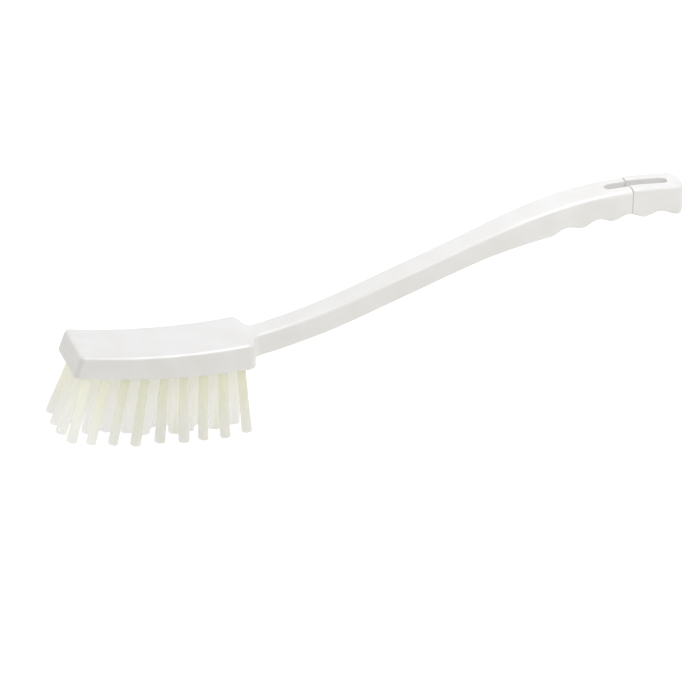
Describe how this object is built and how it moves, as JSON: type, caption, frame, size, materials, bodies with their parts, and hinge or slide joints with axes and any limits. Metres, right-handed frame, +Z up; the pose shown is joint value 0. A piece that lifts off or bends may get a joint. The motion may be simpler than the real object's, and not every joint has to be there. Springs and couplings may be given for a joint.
{
  "type": "long-handled scrubbing brush",
  "caption": "Hand-held scrubbing brush: bristle tufts under a curved block, a cranked handle moulded in one with it, a finger-recess grip and an end loop with a hanging slot",
  "frame": {"origin": "middle of the brush's box in plan, at the level of the lowest trimmed bristle tips", "axes": "+Z up, away from the bristle tips; +X along the brush from the block towards the handle's hanging end; +Y across the block"},
  "size_m": [0.422, 0.056, 0.1476],
  "materials": {
    "white_polypropylene": "satin",
    "bristle": "translucent natural polyester filament"
  },
  "bodies": {
    "root": {"handle_and_block": "white_polypropylene", "end_loop": "white_polypropylene", "tuft_row1_col1": "bristle", "tuft_row1_col2": "bristle", "tuft_row1_col3": "bristle", "tuft_row1_col4": "bristle", "tuft_row1_col5": "bristle", "tuft_row1_col6": "bristle", "tuft_row1_col7": "bristle", "tuft_row1_col8": "bristle", "tuft_row1_col9": "bristle", "tuft_row2_col1": "bristle", "tuft_row2_col2": "bristle", "tuft_row2_col3": "bristle", "tuft_row2_col4": "bristle", "tuft_row2_col5": "bristle", "tuft_row2_col6": "bristle", "tuft_row2_col7": "bristle", "tuft_row2_col8": "bristle", "tuft_row2_col9": "bristle", "tuft_row3_col1": "bristle", "tuft_row3_col2": "bristle", "tuft_row3_col3": "bristle", "tuft_row3_col4": "bristle", "tuft_row3_col5": "bristle", "tuft_row3_col6": "bristle", "tuft_row3_col7": "bristle", "tuft_row3_col8": "bristle", "tuft_row3_col9": "bristle", "tuft_row4_col1": "bristle", "tuft_row4_col2": "bristle", "tuft_row4_col3": "bristle", "tuft_row4_col4": "bristle", "tuft_row4_col5": "bristle", "tuft_row4_col6": "bristle", "tuft_row4_col7": "bristle", "tuft_row4_col8": "bristle", "tuft_row4_col9": "bristle"}
  },
  "joints": []
}
